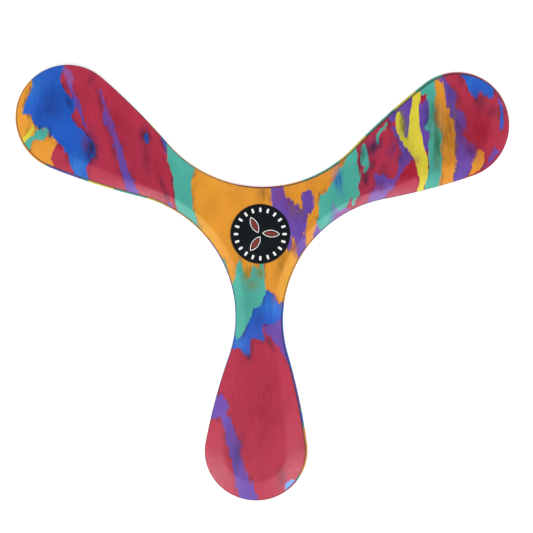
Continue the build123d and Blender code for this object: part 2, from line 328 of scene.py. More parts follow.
         (80.6, 71.3), (82, 68), (83, 66), (82.4, 62), (83.2, 58), (84.7, 55.4), (85.8, 58),
         (86, 63), (86.6, 69), (87.8, 74), (88.3, 79), (89, 84)],
    ],
    "violet": [
        # thin, half-clear veils
        [(-114.5, 97), (-110, 95.5), (-108, 91.5), (-108.2, 87), (-109.4, 84), (-111.5, 88),
         (-113.4, 93)],
        [(41, 2), (41.6, 8.5), (42.2, 13), (42.1, 19), (42.9, 19), (43.3, 14.6), (44.6, 15.6),
         (45.8, 14.4), (45.5, 12.6), (48, 14.2), (51, 15.8), (54, 14), (50, 8)],
        [(31, -1.5), (31.7, 2), (33.3, 6.2), (34, 3.4), (35.6, 1.6), (33, -6)],
        [(67, 27), (72, 29.5), (78.7, 29.8), (76.3, 25.6), (72, 21.2), (70, 15), (61, 14),
         (62.6, 20.5)],
    ],
}
LOWER_PRINT = {
    "orange": [
        [(-155, 104), (-155, 30), (-126, 36), (-122, 52), (-128, 66), (-120, 80), (-124, 106)],
        [(-55, 62), (-57, 42), (-54, 30), (-57, 6), (-34, -8), (-22, -12), (-8, 8), (8, 2),
         (10, -20), (8, -44), (34, -44), (44, -6), (30, 10), (20, 26), (34, 44), (20, 58),
         (-30, 50)],
        [(-38, -118), (-22, -112), (-12, -121), (2, -110), (12, -116), (20, -112), (24, -128),
         (20, -150), (8, -144), (-6, -152), (-20, -147), (-38, -150)],
        [(92, 20), (96, 34), (92, 50), (97, 66), (95, 76), (101, 84), (104, 74), (107, 66),
         (103, 50), (106, 36), (104, 20)],
    ],
    "crimson": [
        [(104, 104), (107, 84), (118, 80), (123, 62), (118, 48), (125, 32), (123, 12), (160, 12),
         (160, 104)],
        [(-38, -150), (-20, -146), (-6, -152), (8, -143), (20, -150), (38, -146), (38, -175),
         (-38, -175)],
        [(-98, 104), (-104, 80), (-93, 62), (-96, 48), (-90, 40), (-86, 46), (-88, 58), (-84, 70),
         (-80, 96)],
        [(-16, 32), (-10, 18), (0, 26), (8, 12), (14, 22), (12, 32), (0, 36)],
    ],
    "purple": [
        [(104, 18), (107, 36), (104, 50), (108, 64), (107, 76), (112, 84), (122, 82), (118, 72),
         (124, 64), (119, 48), (126, 30), (124, 12)],
        [(-34, -84), (-18, -78), (-8, -86), (2, -76), (14, -80), (30, -74), (34, -106), (20, -104),
         (10, -112), (0, -106), (-12, -116), (-24, -108), (-38, -114)],
        [(-36, 0), (-22, -6), (-12, -20), (-12, -34), (-20, -40), (-38, -20)],
        [(30, -6), (36, 6), (46, 10), (54, 20), (64, 12), (40, -16)],
        [(-126, 34), (-121, 50), (-117, 62), (-110, 52), (-106, 40), (-103, 24), (-120, 24)],
    ],
    "blue": [
        [(-22, -42), (-10, -36), (0, -44), (8, -40), (24, -44), (26, -76), (14, -82), (2, -77),
         (-8, -88), (-16, -79), (-30, -84)],
        [(-120, 64), (-112, 76), (-116, 88), (-108, 104), (-96, 104), (-104, 84), (-106, 70),
         (-112, 60)],
        [(22, -108), (27, -106), (36, -109), (38, -115), (30, -116), (24, -113)],
    ],
    "amber": [
        [(24, -112), (26, -130), (22, -144), (30, -152), (44, -146), (40, -112)],
    ],
    "teal": [
        [(-19, 8), (-12, 16), (-6, 6), (2, 8), (4, -6), (-4, -14), (-10, -6), (-16, -2)],
        [(-14, -124), (-11, -132), (-13, -143), (-17, -137), (-18, -128)],
        [(52, 50), (62, 52), (66, 60), (76, 68), (74, 80), (56, 62)],
        [(92, 76), (104, 84), (104, 102), (88, 96), (86, 80)],
    ],
    "yellow": [
        [(-68, 8), (-66, 26), (-69, 40), (-65, 52), (-68, 70), (-60, 66), (-58, 50), (-61, 38),
         (-57, 26), (-56, 4)],
        [(76, 66), (80, 78), (88, 92), (91, 80), (86, 70), (87, 60), (82, 50), (77, 42), (78, 56)],
        [(-102, 20), (-100, 36), (-94, 44), (-88, 40), (-86, 28), (-85, 18)],
        [(44, 38), (48, 46), (58, 56), (64, 58), (62, 50), (54, 42), (48, 34)],
        [(-6, -124), (-2, -116), (6, -118), (8, -130), (4, -140), (-3, -136)],
    ],
}
# soft smudges: x, y, half width, half length, lean of the length from +Y to +X, strength
UPPER_SMUDGES = {
    "gold": [
        (-38, 6, 5, 16, -38, 0.7), (-22, -22, 3.5, 14, -22, 0.75), (17, -28, 4, 13, 12, 0.6),
        (30, 4, 3, 8, 10, 0.5), (-135, 60, 3, 8, 20, 0.4), (-30, 30, 8, 8, 0, 0.15),
    ],
    "azure": [
        (7, -42, 7, 6, 0, 0.5), (-12, -65, 5, 4, 0, 0.6), (-132, 84, 5, 10, 30, 0.5),
        (-106, 39, 5, 7, 0, 0.6), (122, 91, 10, 3.5, -60, 0.3),
    ],
    "navy": [
        (-120, 75, 8, 10, 20, 0.4), (-99, 50, 4, 7.4, 0, 0.9), (-111, 77, 1.8, 5, -20, 0.7),
        (-13.7, -132, 2.6, 11, 8, 0.5), (104.5, 66, 2, 8, 0, 0.2), (122, 49, 5, 2.6, 60, 0.6),
        (96, 68, 1.8, 7, 0, 0.5), (110, 82, 3, 6, -20, 0.35), (66, 52, 3.4, 4.6, 30, 0.55),
        (118, 62, 3, 6, -30, 0.25), (70, 29, 4.5, 2.4, 60, 0.45), (77, 50, 3, 7, 20, 0.4),
        (-1, -51, 3, 5, 20, 0.3),
    ],
    "smoke": [
        (-97.8, 48, 2, 5, 0, 0.75), (101.6, 66, 1.2, 9, 0, 0.45), (113.9, 60, 1.1, 12, 0, 0.5),
        (-97.6, 90, 2.2, 4.6, 10, 0.45), (-92.7, 76, 1.3, 6.5, -10, 0.5),
        (-86, 52, 1.4, 12, -12, 0.35), (-67.4, 57.5, 2.6, 5, 0, 0.6), (-66.3, 45, 2.4, 10, 0, 0.4),
        (-56.8, 28, 1.2, 8, -20, 0.5), (58, 43, 1.2, 6, 0, 0.6), (61.8, 33, 2.6, 6.5, 10, 0.65),
        (65.6, 50, 3.4, 5.4, 40, 0.6), (72, 37.5, 3.5, 4, 0, 0.4), (65, 40.5, 2.6, 6, 20, 0.45),
        (59.4, 47, 1.4, 5, 0, 0.55), (5.2, -64, 2, 6, -35, 0.6),
        (-7, -73, 2.4, 2.6, 0, 0.6), (-5, -66, 1.1, 4, 0, 0.55), (127, 76.5, 6.5, 3.6, 80, 0.55),
        (134, 71, 3, 3.4, 0, 0.5), (115.5, 90, 1.8, 4, -20, 0.4), (13, -146.5, 2.2, 4.6, 0, 0.6),
        (116, 57, 2, 7, 0, 0.35), (83, 45, 3, 7, 30, 0.35), (98, 62, 1, 8, 0, 0.3),
        (120, 60, 10, 10, 0, 0.12), (-75, 45, 8, 14, 0, 0.08), (0, -60, 12, 4, 90, 0.12),
    ],
    "umber": [
        (1.3, 24.5, 2.8, 5.5, 0, 0.55), (18.5, 14, 2.2, 5, 0, 0.5), (24, 13, 1.8, 4, 0, 0.5),
        (12.8, -17, 2.8, 8, 20, 0.5), (101.8, 67, 1.8, 8, 0, 0.6), (112, 67, 1.6, 8, 10, 0.5),
        (113.4, 52, 1.4, 10, 0, 0.5), (109.4, 58, 3.6, 14, 0, 0.55), (102.6, 43, 1.3, 5, 0, 0.6),
        (8, -38, 2, 3, 0, 0.35), (12.4, -42, 1.4, 3, 0, 0.5), (20, -7, 1.6, 4, 0, 0.4),
    ],
    "olive": [
        (-8, -24, 2.4, 5, 0, 0.8), (-0.5, -23, 2.6, 4, 0, 0.65), (-5, -30, 4.5, 3, 0, 0.5),
        (82.6, 63, 2.2, 7, -6, 0.85), (81.6, 69, 1.6, 3, 0, 0.5), (85, 56, 1.4, 3, 0, 0.4),
    ],
    "green": [
        (102.6, 53, 2.8, 14, 0, 0.85), (99.6, 70, 1.8, 7, 0, 0.6), (-8, -40, 6, 10, 0, 0.12),
    ],
    "sea": [
        (45.4, 32, 2.6, 6.5, -4, 0.85), (48, 25, 1.6, 4, 0, 0.4), (42, 9, 1.6, 5, 0, 0.3),
    ],
    "ruby": [
        (127, 60, 8, 12, 0, 0.85), (-84, 66, 7, 14, -20, 0.3), (86, 36, 5, 7, 20, 0.4),
        (0, -106, 13, 30, 0, 0.5), (-60, 36, 4, 14, 0, 0.25),
    ],
    "wine": [
        (20, -8.6, 1.6, 3, 0, 0.6), (15.6, 18, 1.6, 4, 0, 0.4), (64, 22, 2.6, 4, 30, 0.3),
        (91, 43, 1.8, 3, 0, 0.4), (69, 27, 4.5, 3, 0, 0.5), (11, 23, 4, 5, 0, 0.25),
        (-101.6, 53, 2, 4.5, 0, 0.3),
    ],
}
LOWER_SMUDGES = {
    "navy": [(-118, 74, 6, 9, 0, 0.4), (6, -62, 6, 9, 0, 0.4), (114, 60, 5, 14, 0, 0.35)],
    "smoke": [(-92, 58, 3, 6, 0, 0.55), (0, -86, 4, 6, 0, 0.45), (108, 62, 2.5, 7, 0, 0.4),
              (25, -98, 3, 6, 0, 0.4), (-10, 22, 2, 6, 0, 0.4), (128, 60, 6, 5, 30, 0.35)],
    "umber": [(-122, 48, 5, 4, 0, 0.45), (-30, 26, 4, 6, 0, 0.35), (97, 58, 2, 9, 0, 0.4),
              (-16, -128, 2.4, 6, 0, 0.4)],
    "olive": [(79, 62, 3, 5, 0, 0.5), (0, -128, 2, 6, 0, 0.4)],
}
PATCH_REACH = 7.0                       # how far outside its patches a colour's depth is measured
CORNER_CUT = 0.25                       # of the side, off each end of it

# ---- meshes of the flats -------------------------------------------------------------------
GRID_CLEARANCE = 0.6                    # of the spacing, between the grid and the ring round it
GRID_PARTS = 24                         # the grid is measured in parts, which saves memory
MERGE_DISTANCE = 1e-4


# ==== settings ==============================================================================
def linear(hex_colour):
    """Linear RGB of an sRGB hex colour."""
    channels = [int(hex_colour[i:i + 2], 16) / 255 for i in (1, 3, 5)]
    return tuple(c / 12.92 if c <= 0.04045 else ((c + 0.055) / 1.055) ** 2.4 for c in channels)


def colour_setting(name, hex_colour, description):
    """Colour property whose default is a hex colour."""
    return FloatVectorProperty(
        name=name, description=description, subtype="COLOR", size=3, min=0, max=1,
        default=linear(hex_colour),
    )


def length_setting(name, default, low, high, description):
    """Length property, given in millimetres."""
    return FloatProperty(
        name=name, description=description, unit="LENGTH", precision=5,
        default=default * MM, min=low * MM, max=high * MM,
    )


class FilmSettings(bpy.types.PropertyGroup):
    """Shape of the two printed films."""

    roll_height: length_setting("Roll height", 0.4, 0.1, 1, "Height of the upper film's rolled edge")
    bevel_power: FloatProperty(
        name="Bevel power", description="How round the bevel is, where 1 is a plain chamfer",
        default=1.17, min=1.0, max=3.0,
    )
    thickness: length_setting("Film thickness", 0.3, 0.05, 0.35, "Thickness of each film")
    spacing: length_setting("Mesh spacing", 1, 0.6, 3, "Distance between the mesh's points")


class InkSettings(bpy.types.PropertyGroup):
    """Colours of the print, and how they meet."""

    crimson: colour_setting("Crimson", "#AF2F47", "Ground colour of the upper film")
    scarlet: colour_setting("Scarlet", "#A81F33", "Brighter red beside the yellow")
    rose: colour_setting("Rose", "#B83A58", "Lighter red at the lower rim")
    orange: colour_setting("Orange", "#DE932F", "Orange of the hub")
    amber: colour_setting("Amber", "#D98E2A", "Darker orange of the right blade")
    yellow: colour_setting("Yellow", "#D4C63C", "Yellow streaks")
    teal: colour_setting("Teal", "#4AA898", "Blue-green, and ground colour of the lower film")
    blue: colour_setting("Blue", "#2159BE", "Blue patches")
    sky: colour_setting("Sky", "#5A9FE4", "Light blue sliver at the rim")
    purple: colour_setting("Purple", "#6347A4", "Purple streaks")
    violet: colour_setting("Violet", "#8560B4", "Half-clear violet veils")
    gold: colour_setting("Gold", "#CCA01E", "Yellower tone of the orange")
    azure: colour_setting("Azure", "#2F7CC9", "Lighter tone of the blue")
    smoke: colour_setting("Smoke", "#2A1E38", "Dark smoky smudges and fringes")
    umber: colour_setting("Umber", "#7E5318", "Brown smudges in the orange")
    navy: colour_setting("Navy", "#1E2B6B", "Dark blue smudges")
    olive: colour_setting("Olive", "#7A7A28", "Green-brown smudges in the yellow and teal")
    green: colour_setting("Green", "#2F7358", "Dark green smudges in the teal")
    sea: colour_setting("Sea", "#2C64A6", "Blue smudges in the teal")
    wine: colour_setting("Wine", "#8C2F5C", "Red-purple smudges")
    ruby: colour_setting("Ruby", "#991B30", "Deeper red smudges in the crimson")
    # colour of the dark cut edge, also used as the painted shade in the seam's groove and on the nose's
    # outer line
    cut_edge_and_shade: colour_setting("Cut edge", "#1C1622", "Dark cut edge of each film")
    fray: length_setting("Fray", 0.6, 0, 4, "How far the colours' edges wander")
    linen_pitch: length_setting("Linen pitch", 1.15, 0.2, 3, "Thread spacing of the embossed linen")


class BadgeSettings(bpy.types.PropertyGroup):
    """Marks printed on the hub badge."""

    ring_count: IntProperty(
        name="Ring marks", description="How many marks stand in the ring", default=20, min=3, max=60,
    )
    ring_radius: length_setting("Ring radius", 14.2, 8, 16, "Hub centre to the middle of a mark")
    mark_length: length_setting("Mark length", 2.6, 0.5, 4, "Size of a mark along the radius")
    mark_width: length_setting("Mark width", 1.3, 0.3, 2, "Size of a mark across the radius")
    leaf_length: length_setting("Leaf length", 10.4, 4, 12, "Length of one leaf of the pinwheel")
    leaf_width: length_setting("Leaf width", 4.4, 1, 6, "Width of one leaf of the pinwheel")
    leaf_lean: FloatProperty(
        name="Leaf lean", description="Turn of each leaf about its root",
        default=radians(-34), min=-pi / 2, max=pi / 2, subtype="ANGLE",
    )


class StageSettings(bpy.types.PropertyGroup):
    """Camera, floor and lights."""

    camera_distance: FloatProperty(
        name="Camera distance", description="Camera to the hub", default=0.5305, min=0.2, max=5,
        unit="LENGTH",
    )
    camera_tilt: FloatProperty(
        name="Camera tilt", description="How far the camera leans from straight above towards +Y",
        default=radians(4.49), min=0, max=pi / 2, subtype="ANGLE",
    )
    floor_colour: colour_setting("Floor", "#F6F6F5", "Pale matt floor")
    floor_glow: FloatProperty(
        name="Floor glow", description="Light that comes up through the floor", default=0.45, min=0,
    )
    key_power: FloatProperty(
        name="Key power", description="Power of each softbox", default=3.2, min=0, unit="POWER",
    )
    world_strength: FloatProperty(
        name="Room light", description="Strength of the light tent", default=1.29, min=0,
    )


def film_settings():
    return bpy.context.scene.boomerang_film


def ink_settings():
    return bpy.context.scene.boomerang_ink


def badge_settings():
    return bpy.context.scene.boomerang_badge


def stage_settings():
    return bpy.context.scene.boomerang_stage


# ==== plan geometry =========================================================================
def flank_centre(tip_radius, crotch_radius, crotch_centre, flank_radius, side):
    """Centre of the arc that holds the tip arc and touches the crotch arc from outside."""
    to_tip, to_crotch = flank_radius - tip_radius, flank_radius + crotch_radius
    span = crotch_centre - TIP_CENTRE
    along = (to_tip ** 2 - to_crotch ** 2 + span.length_squared) / (2 * span.length)
    across = sqrt(to_tip ** 2 - along ** 2)
    unit = span.normalized()
    return TIP_CENTRE + unit * along + Vector((-unit.y, unit.x)) * across * side


def arc(centre, start, end, turn, count):
    """count points from start to just before end round centre; turn is 1 anticlockwise or -1."""
    first = atan2(*(start - centre).yx)
    last = atan2(*(end - centre).yx)
    sweep = turn * ((turn * (last - first)) % (2 * pi))
    radius = (start - centre).length
    angles = first + sweep * np.arange(count) / count
    return np.array(centre) + radius * np.column_stack([np.cos(angles), np.sin(angles)])


def turned(points, angle):
    """points turned anticlockwise about the hub."""
    return points @ np.array([[cos(angle), sin(angle)], [-sin(angle), cos(angle)]])


def outline(share, inset, twist, spacing):
    """Ring of points: the widest outline moved in by inset, share of the way to the raised flat."""
    def between(pair):
        return pair[0] + (pair[1] - pair[0]) * share

    def steps(length):
        """How many points an arc of this length gets, in fours."""
        return ceil(length / spacing / 4) * 4

    tip_radius = between(TIP_RADIUS) - inset
    crotch_radius = between(CROTCH_RADIUS) + inset
    leading_radius = between(LEADING_FLANK_RADIUS) - inset
    trailing_radius = between(TRAILING_FLANK_RADIUS) - inset
    ahead = Vector((cos(CROTCH_ANGLE), sin(CROTCH_ANGLE))) * CROTCH_DISTANCE
    behind = Vector((cos(CROTCH_ANGLE + SECTOR), sin(CROTCH_ANGLE + SECTOR))) * CROTCH_DISTANCE
    trailing = flank_centre(tip_radius, crotch_radius, ahead, trailing_radius, -1)
    leading = flank_centre(tip_radius, crotch_radius, behind, leading_radius, 1)
    neck_trailing = ahead + (trailing - ahead).normalized() * crotch_radius
    tip_trailing = trailing + (TIP_CENTRE - trailing).normalized() * trailing_radius
    tip_leading = leading + (TIP_CENTRE - leading).normalized() * leading_radius
    neck_leading = behind + (leading - behind).normalized() * crotch_radius
    next_neck = Vector(turned(np.array(neck_trailing), SECTOR))
    blade = np.concatenate([
        arc(trailing, neck_trailing, tip_trailing, 1, steps(FLANK_LENGTH)),
        arc(TIP_CENTRE, tip_trailing, tip_leading, 1, steps(TIP_LENGTH)),
        arc(leading, tip_leading, neck_leading, 1, steps(FLANK_LENGTH)),
        arc(behind, neck_leading, next_neck, -1, steps(CROTCH_LENGTH)),
    ])
    start = FIRST_BLADE_TURN + twist
    return np.concatenate([turned(blade, start + i * SECTOR) for i in range(BLADES)])


def gap_and_side(spots, corners):
    """Distance of each spot from a closed outline, and whether it lies inside."""
    ends = np.roll(corners, -1, 0)
    run = ends - corners
    offset = spots[:, None] - corners
    share = np.clip((offset * run).sum(2) / (run * run).sum(1), 0, 1)
    gap = np.sqrt(((offset - share[..., None] * run) ** 2).sum(2)).min(1)
    straddles = (corners[:, 1] > spots[:, None, 1]) != (ends[:, 1] > spots[:, None, 1])
    rise = np.where(run[:, 1] == 0, 1, run[:, 1])
    crossing = corners[:, 0] + offset[..., 1] * run[:, 0] / rise
    inside = (straddles & (spots[:, None, 0] < crossing)).sum(1) % 2 == 1
    return gap, inside


def rounded(corners):
    """A closed outline with its corners cut twice, as wet ink rounds them."""
    for _ in range(2):
        ahead = np.roll(corners, -1, 0)
        cut = (ahead - corners) * CORNER_CUT
        corners = np.stack([corners + cut, ahead - cut], 1).reshape(-1, 2)
    return corners


def depth_in_patches(points, patches):
    """How far each point lies inside the nearest patch, and negative outside, in millimetres."""
    depth = np.full(len(points), -PATCH_REACH)
    for patch in patches:
        corners = rounded(np.array(patch, float))
        low, high = corners.min(0) - PATCH_REACH, corners.max(0) + PATCH_REACH
        near = ((points > low) & (points < high)).all(1)
        if near.any():
            gap, inside = gap_and_side(points[near], corners)
            depth[near] = np.maximum(depth[near], np.where(inside, gap, -gap))
    return depth


def smudge_strength(points, smudges):
    """How strongly the smudges cover each point: each fades out evenly from its middle."""
    strength = np.zeros(len(points))
    for x, y, half_width, half_length, lean, most in smudges:
        offset = turned(points - (x, y), radians(lean)) / (half_width, half_length)
        strength = np.maximum(strength, most * np.exp(-(offset ** 2).sum(1)))
    return strength


def grid_inside(corners, spacing):
    """Triangular grid of points inside a closed outline, clear of it."""
    row = spacing * sqrt(3) / 2
    low, high = corners.min(0), corners.max(0)
    x, y = np.meshgrid(np.arange(low[0], high[0], spacing), np.arange(low[1], high[1], row))
    x[1::2] += spacing / 2
    spots = np.column_stack([x.ravel(), y.ravel()])
    kept = []
    for part in np.array_split(spots, GRID_PARTS):
        gap, inside = gap_and_side(part, corners)
        kept.append(part[inside & (gap > spacing * GRID_CLEARANCE)])
    return np.concatenate(kept)


# ==== making meshes =========================================================================
def band(count, low, high):
    """Faces between two rings of count points each, given by their places in a list of rings."""
    low, high = low * count, high * count
    ahead = [*range(1, count), 0]
    return [(low + i, low + ahead[i], high + ahead[i], high + i) for i in range(count)]


def film_plan(name, rings, patches, smudges, spacing, faces_up):
    """Flat mesh of a film, from its seam inwards.

    A ring is (points, bevel share, turn-down share, edge shade), where edge shade is the dark cut
    edge with painted shade at the seam and on the nose.  Those shares, each printed colour's depth
    and each smudge's strength are attributes of the mesh's points.
    """
    count = len(rings[0][0])
    inner = rings[-1][0]
    grid = grid_inside(inner, spacing)
    fill = [Vector(p) for p in np.concatenate([inner, grid])]
    spots, _, faces, origins, _, _ = delaunay_2d_cdt(
        fill, [], [list(range(count))], 1, MERGE_DISTANCE,
    )
    if len(spots) != len(fill):
        raise RuntimeError(f"{name}: the flat's points were merged")
    first = (len(rings) - 1) * count
    place = [first + origin[0] for origin in origins]
    faces = [tuple(place[i] for i in face) for face in faces]
    for r in range(len(rings) - 1):
        faces += band(count, r, r + 1)
    if not faces_up:
        faces = [face[::-1] for face in faces]
    plan = np.concatenate([ring[0] for ring in rings] + [grid])
    mesh = bpy.data.meshes.new(name)
    mesh.from_pydata(np.column_stack([plan * MM, np.zeros(len(plan))]).tolist(), [], faces)
    for column, key in enumerate(("bevel", "turn_down", "edge_and_shade"), 1):
        values = [ring[column] for ring in rings]
        values = np.concatenate([np.repeat(values, count), np.full(len(grid), values[-1])])
        add_attribute(mesh, key, values)
    for ink, outlines in patches.items():
        add_attribute(mesh, "ink_" + ink, depth_in_patches(plan, outlines) * MM)
    for ink, spots in smudges.items():
        add_attribute(mesh, "smudge_" + ink, smudge_strength(plan, spots))
    return mesh


def add_attribute(mesh, name, values):
    """Stores one number for each of the mesh's points."""
    layer = mesh.attributes.new(name, "FLOAT", "POINT")
    layer.data.foreach_set("value", np.asarray(values, np.float32))


def new_object(name, mesh):
    """Object in the scene that shows mesh."""
    obj = bpy.data.objects.new(name, mesh)
    bpy.context.scene.collection.objects.link(obj)
    return obj


def add_node(tree, kind, inputs=None, output=0, **settings):
    """Adds a node, sets its properties, fills or links its inputs, and gives one output."""
    node = tree.nodes.new(kind)
    for key, value in settings.items():
        setattr(node, key, value)
    for key, value in (inputs or {}).items():
        if isinstance(value, bpy.types.NodeSocket):
            tree.links.new(value, node.inputs[key])
        else:
            node.inputs[key].default_value = value
    return node.outputs[output] if node.outputs else None


def geometry_tree(name, sizes):
    """New geometry node tree with a geometry input, the named inputs of sizes, and a material."""
    tree = bpy.data.node_groups.new(name, "GeometryNodeTree")
    tree.interface.new_socket("Geometry", in_out="INPUT", socket_type="NodeSocketGeometry")
    for label, kind in sizes:
        tree.interface.new_socket(label, in_out="INPUT", socket_type=kind)
    tree.interface.new_socket("Material", in_out="INPUT", socket_type="NodeSocketMaterial")
    tree.interface.new_socket("Geometry", in_out="OUTPUT", socket_type="NodeSocketGeometry")
    return tree, tree.nodes.new("NodeGroupInput").outputs


def end_tree(tree, given, geometry):
    """Ends a geometry tree in real geometry with its material."""
    real = add_node(tree, "GeometryNodeRealizeInstances", {0: geometry})
    painted = add_node(tree, "GeometryNodeSetMaterial", {0: real, "Material": given["Material"]})
    add_node(tree, "NodeGroupOutput", {0: painted})


def film_tree():
    """Raises a flat plan: Ground + Rise * (1 - (1 - bevel) ** Power) - Roll * turn_down."""
    sizes = [("Ground", "NodeSocketFloat"), ("Rise", "NodeSocketFloat"), ("Power", "NodeSocketFloat"),
             ("Roll", "NodeSocketFloat")]
    tree, given = geometry_tree("raise_film", sizes)
    bevel, turn_down = [
        add_node(tree, "GeometryNodeInputNamedAttribute", {0: key}, data_type="FLOAT")
        for key in ("bevel", "turn_down")
    ]
    left = add_node(tree, MATH, {0: 1.0, 1: bevel}, operation="SUBTRACT")
    falling = add_node(tree, MATH, {0: left, 1: given["Power"]}, operation="POWER")
    raised = add_node(tree, MATH, {0: 1.0, 1: falling}, operation="SUBTRACT")
    lift = {0: raised, 1: given["Rise"], 2: given["Ground"]}
    height = add_node(tree, MATH, lift, operation="MULTIPLY_ADD")
    rolled = add_node(tree, MATH, {0: turn_down, 1: given["Roll"]}, operation="MULTIPLY")
    height = add_node(tree, MATH, {0: height, 1: rolled}, operation="SUBTRACT")
    offset = add_node(tree, "ShaderNodeCombineXYZ", {"Z": height})
    moved = add_node(tree, "GeometryNodeSetPosition", {0: given["Geometry"], "Offset": offset})
    end_tree(tree, given, add_node(tree, "GeometryNodeSetShadeSmooth", {0: moved}))
    return tree


def ring_tree():
    """Sets copies of one mark round the hub, each turned to face out and leaning by Lean."""
    sizes = [("Count", "NodeSocketInt"), ("Radius", "NodeSocketFloat"), ("Start", "NodeSocketFloat"),
             ("Lean", "NodeSocketFloat"), ("Height", "NodeSocketFloat")]
    tree, given = geometry_tree("set_round_hub", sizes)
    index = add_node(tree, "GeometryNodeInputIndex")
    step = add_node(tree, MATH, {0: 2 * pi, 1: given["Count"]}, operation="DIVIDE")
    angle = add_node(tree, MATH, {0: index, 1: step, 2: given["Start"]}, operation="MULTIPLY_ADD")
    place = {"Z": given["Height"]}
    for axis, operation in (("X", "COSINE"), ("Y", "SINE")):
        share = add_node(tree, MATH, {0: angle}, operation=operation)
        place[axis] = add_node(tree, MATH, {0: share, 1: given["Radius"]}, operation="MULTIPLY")
    place = add_node(tree, "ShaderNodeCombineXYZ", place)
    points = add_node(tree, "GeometryNodePoints", {"Count": given["Count"], "Position": place})
    facing = add_node(tree, MATH, {0: angle, 1: given["Lean"]}, operation="ADD")
    turn = add_node(tree, "ShaderNodeCombineXYZ", {"Z": facing})
    placed = add_node(tree, "GeometryNodeInstanceOnPoints", {
        "Points": points, "Instance": given["Geometry"], "Rotation": turn,
    })
    end_tree(tree, given, placed)
    return tree


def set_inputs(modifier, values):
    """Fills a geometry modifier's inputs, which it knows by identifier and not by name."""
    for item in modifier.node_group.interface.items_tree:
        if item.in_out == "INPUT" and item.name in values:
            modifier[item.identifier] = values[item.name]


def finished_piece(obj, node):
    """Turns obj's modifiers into plain mesh, and lets it ride and stand for its CAD node."""
    bpy.context.view_layer.update()
    graph = bpy.context.evaluated_depsgraph_get()
    mesh = bpy.data.meshes.new_from_object(
        obj.evaluated_get(graph), preserve_all_data_layers=True, depsgraph=graph,
    )
    mesh.name = obj.name
    obj.modifiers.clear()
    obj.data = mesh
    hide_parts(node)
    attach(obj, BODY)


def make_film(name, node, plan, sizes, material):
    """One printed film as a closed thin shell, from its flat plan."""
    obj = new_object(name, plan)
    rise = obj.modifiers.new("rise", "NODES")
    rise.node_group = film_tree()
    set_inputs(rise, {**sizes, "Material": material})
    wall = obj.modifiers.new("wall", "SOLIDIFY")
    wall.thickness = film_settings().thickness
    wall.offset = -1
    finished_piece(obj, node)


# ==== materials =============================================================================
def new_material(name):
    """Material with an empty tree, and its object coordinates."""
    material = bpy.data.materials.new(name)
    material.use_nodes = True
    tree = material.node_tree
    tree.nodes.clear()
    return material, tree, add_node(tree, "ShaderNodeTexCoord", output="Object")


def end_material(tree, inputs):
    """Principled surface with these inputs, as the material's output."""
    surface = add_node(tree, "ShaderNodeBsdfPrincipled", inputs)
    add_node(tree, "ShaderNodeOutputMaterial", {"Surface": surface})


def grain(tree, place, size_mm, low=None, high=None, start=0.3, end=0.7, detail=2.0):
    """Cloudy pattern whose features measure size_mm along X, Y and Z.

    Its range from start to end is spread over low to high, if they are given.
    """
    scaled = add_node(tree, "ShaderNodeMapping", {
        "Vector": place, "Scale": [1 / (size * MM) for size in size_mm],
    })
    noise = add_node(tree, "ShaderNodeTexNoise", {"Vector": scaled, "Scale": 1.0, "Detail": detail})
    if low is None:
        return noise
    return add_node(tree, RANGE, {0: noise, 1: start, 2: end, 3: low, 4: high})


def mottled(tree, place, size_mm, dark, light, start=0.3, end=0.7):
    """Colour that wanders between two hex colours in clouds of size_mm."""
    shade = grain(tree, place, (size_mm,) * 3, 0.0, 1.0, start, end)
    tones = {0: shade, 6: with_alpha(linear(dark)), 7: with_alpha(linear(light))}
    return add_node(tree, MIX, tones, output=2, data_type="RGBA")


def with_alpha(colour):
    """Opaque RGBA of an RGB colour."""
    return (*colour, 1.0)


